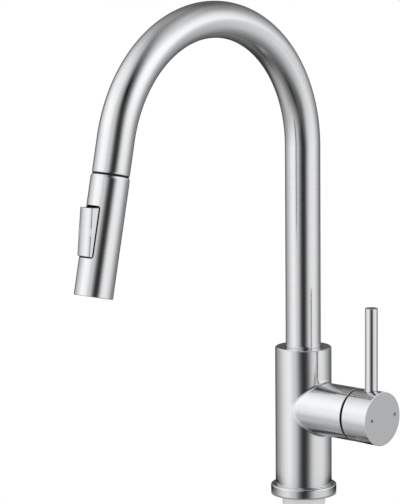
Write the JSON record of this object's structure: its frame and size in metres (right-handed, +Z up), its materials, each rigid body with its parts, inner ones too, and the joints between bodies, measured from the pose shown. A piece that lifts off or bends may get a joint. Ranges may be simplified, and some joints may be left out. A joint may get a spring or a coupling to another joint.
{
  "type": "pull-out kitchen faucet",
  "caption": "Single-lever kitchen faucet with a high arc swivel spout, a pull-out spray head with a rocker button, and a threaded shank for one deck hole.",
  "frame": {"origin": "centre of the base ring's underside, on the deck, on the axis of the shank and the deck's hole", "axes": "+Z up along the body; the spout reaches towards -Y over the sink; the lever's axis runs along +X, to the right of someone standing at the sink"},
  "size_m": [0.1087, 0.2729, 0.4975],
  "materials": {
    "brushed_stainless": "brushed satin stainless steel",
    "turned_steel": "plain turned or pressed steel",
    "brass": "plain machined brass",
    "dark_plastic": "matt dark plastic",
    "grey_plastic": "matt grey plastic",
    "white_plastic": "matt white plastic",
    "black_rubber": "soft black rubber",
    "grey_rubber": "soft grey silicone rubber",
    "ceramic": null,
    "braided_hose": "woven grey sleeve over a rubber hose",
    "dot_insert": "glossy dark grey insert"
  },
  "bodies": {
    "faucet": {"faucet_body": "brushed_stainless", "base_ring": "brushed_stainless", "base_gasket": "black_rubber", "mounting_shank": "brass", "centring_ring": "white_plastic", "deck_rubber_washer": "black_rubber", "deck_steel_washer": "turned_steel", "mounting_nut": "dark_plastic", "nut_lock_screws": "turned_steel", "swivel_sleeve": "brass", "lower_swivel_bush": "white_plastic", "upper_swivel_bush": "white_plastic", "swivel_o_rings": "black_rubber", "hose_lower": "braided_hose", "hose_end_fitting": "brass", "outlet_tube": "brass", "port_seals": "black_rubber", "cartridge_base": "white_plastic", "fixed_disc": "ceramic", "cartridge_housing": "white_plastic", "cartridge_nut": "brass", "trim_dome": "dark_plastic"},
    "spout": {"spout_tube": "brushed_stainless", "retaining_clip": "turned_steel", "dock_collar": "dark_plastic", "hose_upper": "braided_hose", "hose_reach": "braided_hose"},
    "spray_head": {"head_shell": "brushed_stainless", "head_core": "dark_plastic", "head_neck": "dark_plastic", "neck_washer": "black_rubber", "hose_nut": "turned_steel", "hose_ferrule": "turned_steel", "check_valve_body": "white_plastic", "rocker_pin": "turned_steel", "face_ring": "dark_plastic", "spray_face": "dark_plastic", "nozzle_mat": "grey_rubber", "aerator": "grey_plastic"},
    "rocker": {"rocker_button": "brushed_stainless"},
    "diverter": {"diverter_spool": "grey_plastic", "spool_o_rings": "black_rubber"},
    "check_poppet": {"check_valve_poppet": "grey_plastic"},
    "turret": {"turret": "white_plastic", "stem_pin": "turned_steel"},
    "handle": {"handle_hub": "brushed_stainless", "handle_rod": "brushed_stainless", "grub_screw": "turned_steel", "index_dots": "dot_insert", "lever_stem": "brass"},
    "disc_slide": {"moving_disc": "ceramic", "disc_carrier": "white_plastic"}
  },
  "joints": [
    {"name": "spout_swivel", "type": "hinge", "parent": "faucet", "child": "spout", "pos_m": [0, 0, 0.11], "axis": [0, 0, 1], "continuous": true},
    {"name": "head_pull", "type": "slide", "parent": "spout", "child": "spray_head", "axis": [0, -0.2164, -0.9763], "range_m": [0, 0.45], "deforming": ["hose_reach"]},
    {"name": "rocker_toggle", "type": "hinge", "parent": "spray_head", "child": "rocker", "pos_m": [0, -0.23096, 0.23628], "axis": [-1, 0, 0], "range_deg": [0, 13]},
    {"name": "diverter_slide", "type": "slide", "parent": "spray_head", "child": "diverter", "axis": [0, -0.2164, -0.9763], "range_m": [0, 0.00182]},
    {"name": "check_valve_lift", "type": "slide", "parent": "spray_head", "child": "check_poppet", "axis": [0, -0.2164, -0.9763], "range_m": [0, 0.0015], "stiffness_N_per_m": 40, "springref_m": -0.0012},
    {"name": "handle_turn", "type": "hinge", "parent": "faucet", "child": "turret", "pos_m": [0.046, 0, 0.0715], "axis": [1, 0, 0], "range_deg": [-45, 45]},
    {"name": "handle_lift", "type": "hinge", "parent": "turret", "child": "handle", "pos_m": [0.046, 0, 0.0715], "axis": [0, 1, 0], "range_deg": [0, 25]},
    {"name": "disc_shift", "type": "slide", "parent": "turret", "child": "disc_slide", "axis": [0, 0, 1], "range_m": [0, 0.0074]}
  ],
  "couplings": [
    {"joint": "diverter_slide", "follows": "rocker_toggle", "m_per_rad": 0.0079829},
    {"joint": "disc_shift", "follows": "handle_lift", "m_per_rad": 0.016901}
  ]
}
